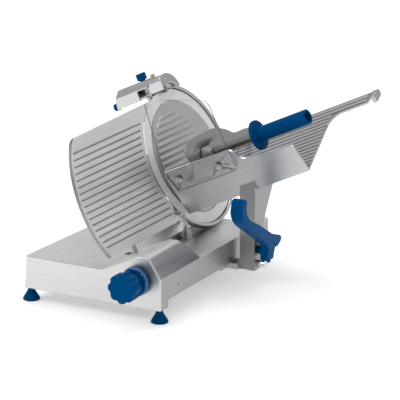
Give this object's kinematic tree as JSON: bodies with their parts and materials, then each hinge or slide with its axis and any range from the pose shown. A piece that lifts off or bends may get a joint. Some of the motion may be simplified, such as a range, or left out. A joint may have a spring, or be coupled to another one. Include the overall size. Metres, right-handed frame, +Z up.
{
  "type": "deli meat slicer",
  "caption": "Gravity-feed deli meat slicer: tilted round blade in a ring guard, sliding food tray with pusher and clear hand guard, ribbed gauge plate, index knob and sharpener.",
  "frame": {"origin": "bottom centre of the whole machine's bounding box, on the counter under the feet", "axes": "+Z up, +Y away from the operator along the carriage travel, +X to the operator's right; the front panel faces -Y"},
  "size_m": [0.5872, 0.646, 0.3983],
  "materials": {
    "anodised": "satin brushed anodised aluminium",
    "cast_aluminium": "fine cast and polished aluminium",
    "stainless": "brushed stainless steel",
    "blade_steel": "ground and polished chromed blade steel",
    "chromed": "polished chrome",
    "blue_plastic": "glossy moulded blue plastic",
    "blue_rubber": "blue rubber foot, satin",
    "clear_guard": "clear polycarbonate sheet with polished edges",
    "black_plastic": "matte black plastic",
    "white_acetal": "white acetal bearing plastic",
    "drive_rubber": "black poly-V belt rubber",
    "bronze": "sintered bronze bush",
    "iron": "dark painted motor iron",
    "abrasive": "bonded abrasive, rough",
    "green_button": "green push-button cap",
    "red_button": "red push-button cap"
  },
  "bodies": {
    "frame": {"base_housing": "anodised", "front_panel": "anodised", "feet": "blue_rubber", "bottom_cover": "stainless", "cover_screws": "stainless", "switch_plate": "black_plastic", "cable_gland": "black_plastic", "head_casting": "cast_aluminium", "belt_cover": "black_plastic", "spindle_bearings": "stainless", "drive_belt": "drive_rubber", "motor": "iron", "motor_cover": "black_plastic", "ring_guard": "cast_aluminium", "ring_bracket": "cast_aluminium", "slice_deflector": "stainless", "knife_cover": "anodised", "gauge_rod": "stainless", "index_bush": "bronze", "slide_rod": "chromed", "rod_end_blocks": "cast_aluminium", "anti_tip_rail": "stainless", "sharpener_post": "stainless"},
    "blade": {"blade": "blade_steel", "blade_screws": "stainless", "spindle": "stainless", "blade_pulley": "cast_aluminium"},
    "rotor": {"motor_rotor": "stainless"},
    "carriage": {"tray": "anodised", "hand_guard": "clear_guard", "carriage_screws": "stainless", "carriage_post": "anodised", "carriage_foot": "cast_aluminium", "carriage_bushes": "bronze", "carriage_handle": "blue_plastic", "pusher_rail": "chromed", "rail_brackets": "stainless"},
    "roller": {"carriage_roller": "white_acetal"},
    "release_knob": {"release_knob": "chromed"},
    "gauge": {"gauge_plate": "anodised", "gauge_slide": "cast_aluminium"},
    "index": {"index_knob": "blue_plastic", "index_dial": "blue_plastic", "index_shaft": "stainless"},
    "pusher_bush": {"pusher_bush": "bronze"},
    "pusher": {"pusher_arm": "cast_aluminium", "pusher_plate": "anodised", "pusher_stem": "chromed", "pusher_grip": "blue_plastic"},
    "sharpener": {"sharpener_housing": "cast_aluminium", "sharpener_nose": "cast_aluminium", "nose_screw": "bronze"},
    "sharpener_knob": {"sharpener_knob": "blue_plastic"},
    "grinding_shaft": {"grinding_shaft": "blue_plastic"},
    "grinding_stone": {"grinding_stone": "abrasive"},
    "deburring_shaft": {"deburring_button": "stainless"},
    "deburring_stone": {"deburring_stone": "abrasive"},
    "cover_knob": {"cover_lock_knob": "blue_plastic"},
    "start_button": {"start_button": "green_button"},
    "stop_button": {"stop_button": "red_button"}
  },
  "joints": [
    {"name": "carriage_slide", "type": "slide", "parent": "frame", "child": "carriage", "axis": [0, 1, 0], "range_m": [-0.255, 0.04]},
    {"name": "roller_spin", "type": "hinge", "parent": "carriage", "child": "roller", "pos_m": [-0.02694, 0.081, 0.044], "axis": [1, 0, 0], "range_deg": [-1830, 290]},
    {"name": "release_knob_turn", "type": "hinge", "parent": "carriage", "child": "release_knob", "pos_m": [0.11106, 0.077, 0.043], "axis": [1, 0, 0], "range_deg": [-720, 0]},
    {"name": "blade_spin", "type": "hinge", "parent": "frame", "child": "blade", "pos_m": [-0.11194, 0.165, 0.226], "axis": [0.9026, 0, 0.4305], "continuous": true},
    {"name": "motor_spin", "type": "hinge", "parent": "frame", "child": "rotor", "pos_m": [-0.14394, 0.25, 0.18857], "axis": [0.9026, 0, 0.4305], "continuous": true},
    {"name": "gauge_slide", "type": "slide", "parent": "frame", "child": "gauge", "axis": [-0.9026, 0, -0.4305], "range_m": [0, 0.015]},
    {"name": "index_turn", "type": "hinge", "parent": "frame", "child": "index", "pos_m": [0.00506, -0.285, 0.087], "axis": [0, -1, 0], "range_deg": [0, 300]},
    {"name": "pusher_slide", "type": "slide", "parent": "carriage", "child": "pusher_bush", "axis": [0.9026, 0, 0.4305], "range_m": [-0.066, 0.23]},
    {"name": "pusher_swing", "type": "hinge", "parent": "pusher_bush", "child": "pusher", "pos_m": [0.00634, 0.26423, 0.25676], "axis": [0.9026, 0, 0.4305], "range_deg": [-100, 0]},
    {"name": "sharpener_lift", "type": "slide", "parent": "frame", "child": "sharpener", "axis": [-0.4305, 0, 0.9026], "range_m": [0, 0.02]},
    {"name": "sharpener_knob_turn", "type": "hinge", "parent": "sharpener", "child": "sharpener_knob", "pos_m": [-0.23595, 0.177, 0.38844], "axis": [-0.4305, 0, 0.9026], "range_deg": [0, 720]},
    {"name": "grinding_push", "type": "slide", "parent": "sharpener", "child": "grinding_shaft", "axis": [0.9026, 0, 0.4305], "range_m": [0, 0.003], "stiffness_N_per_m": 400},
    {"name": "grinding_spin", "type": "hinge", "parent": "grinding_shaft", "child": "grinding_stone", "pos_m": [-0.19182, 0.164, 0.3563], "axis": [0.9026, 0, 0.4305], "continuous": true},
    {"name": "deburring_push", "type": "slide", "parent": "sharpener", "child": "deburring_shaft", "axis": [-0.9026, 0, -0.4305], "range_m": [0, 0.003], "stiffness_N_per_m": 400},
    {"name": "deburring_spin", "type": "hinge", "parent": "deburring_shaft", "child": "deburring_stone", "pos_m": [-0.17016, 0.164, 0.36664], "axis": [0.9026, 0, 0.4305], "continuous": true},
    {"name": "cover_knob_turn", "type": "hinge", "parent": "frame", "child": "cover_knob", "pos_m": [-0.17512, 0.165, 0.19586], "axis": [0.9026, 0, 0.4305], "range_deg": [0, 720]},
    {"name": "start_push", "type": "slide", "parent": "frame", "child": "start_button", "axis": [1, 0, 0], "range_m": [0, 0.002], "stiffness_N_per_m": 500},
    {"name": "stop_push", "type": "slide", "parent": "frame", "child": "stop_button", "axis": [1, 0, 0], "range_m": [0, 0.002], "stiffness_N_per_m": 500}
  ],
  "couplings": [
    {"joint": "roller_spin", "follows": "carriage_slide", "rad_per_m": 125},
    {"joint": "motor_spin", "follows": "blade_spin", "ratio": 2.625},
    {"joint": "index_turn", "follows": "gauge_slide", "rad_per_m": 349}
  ]
}
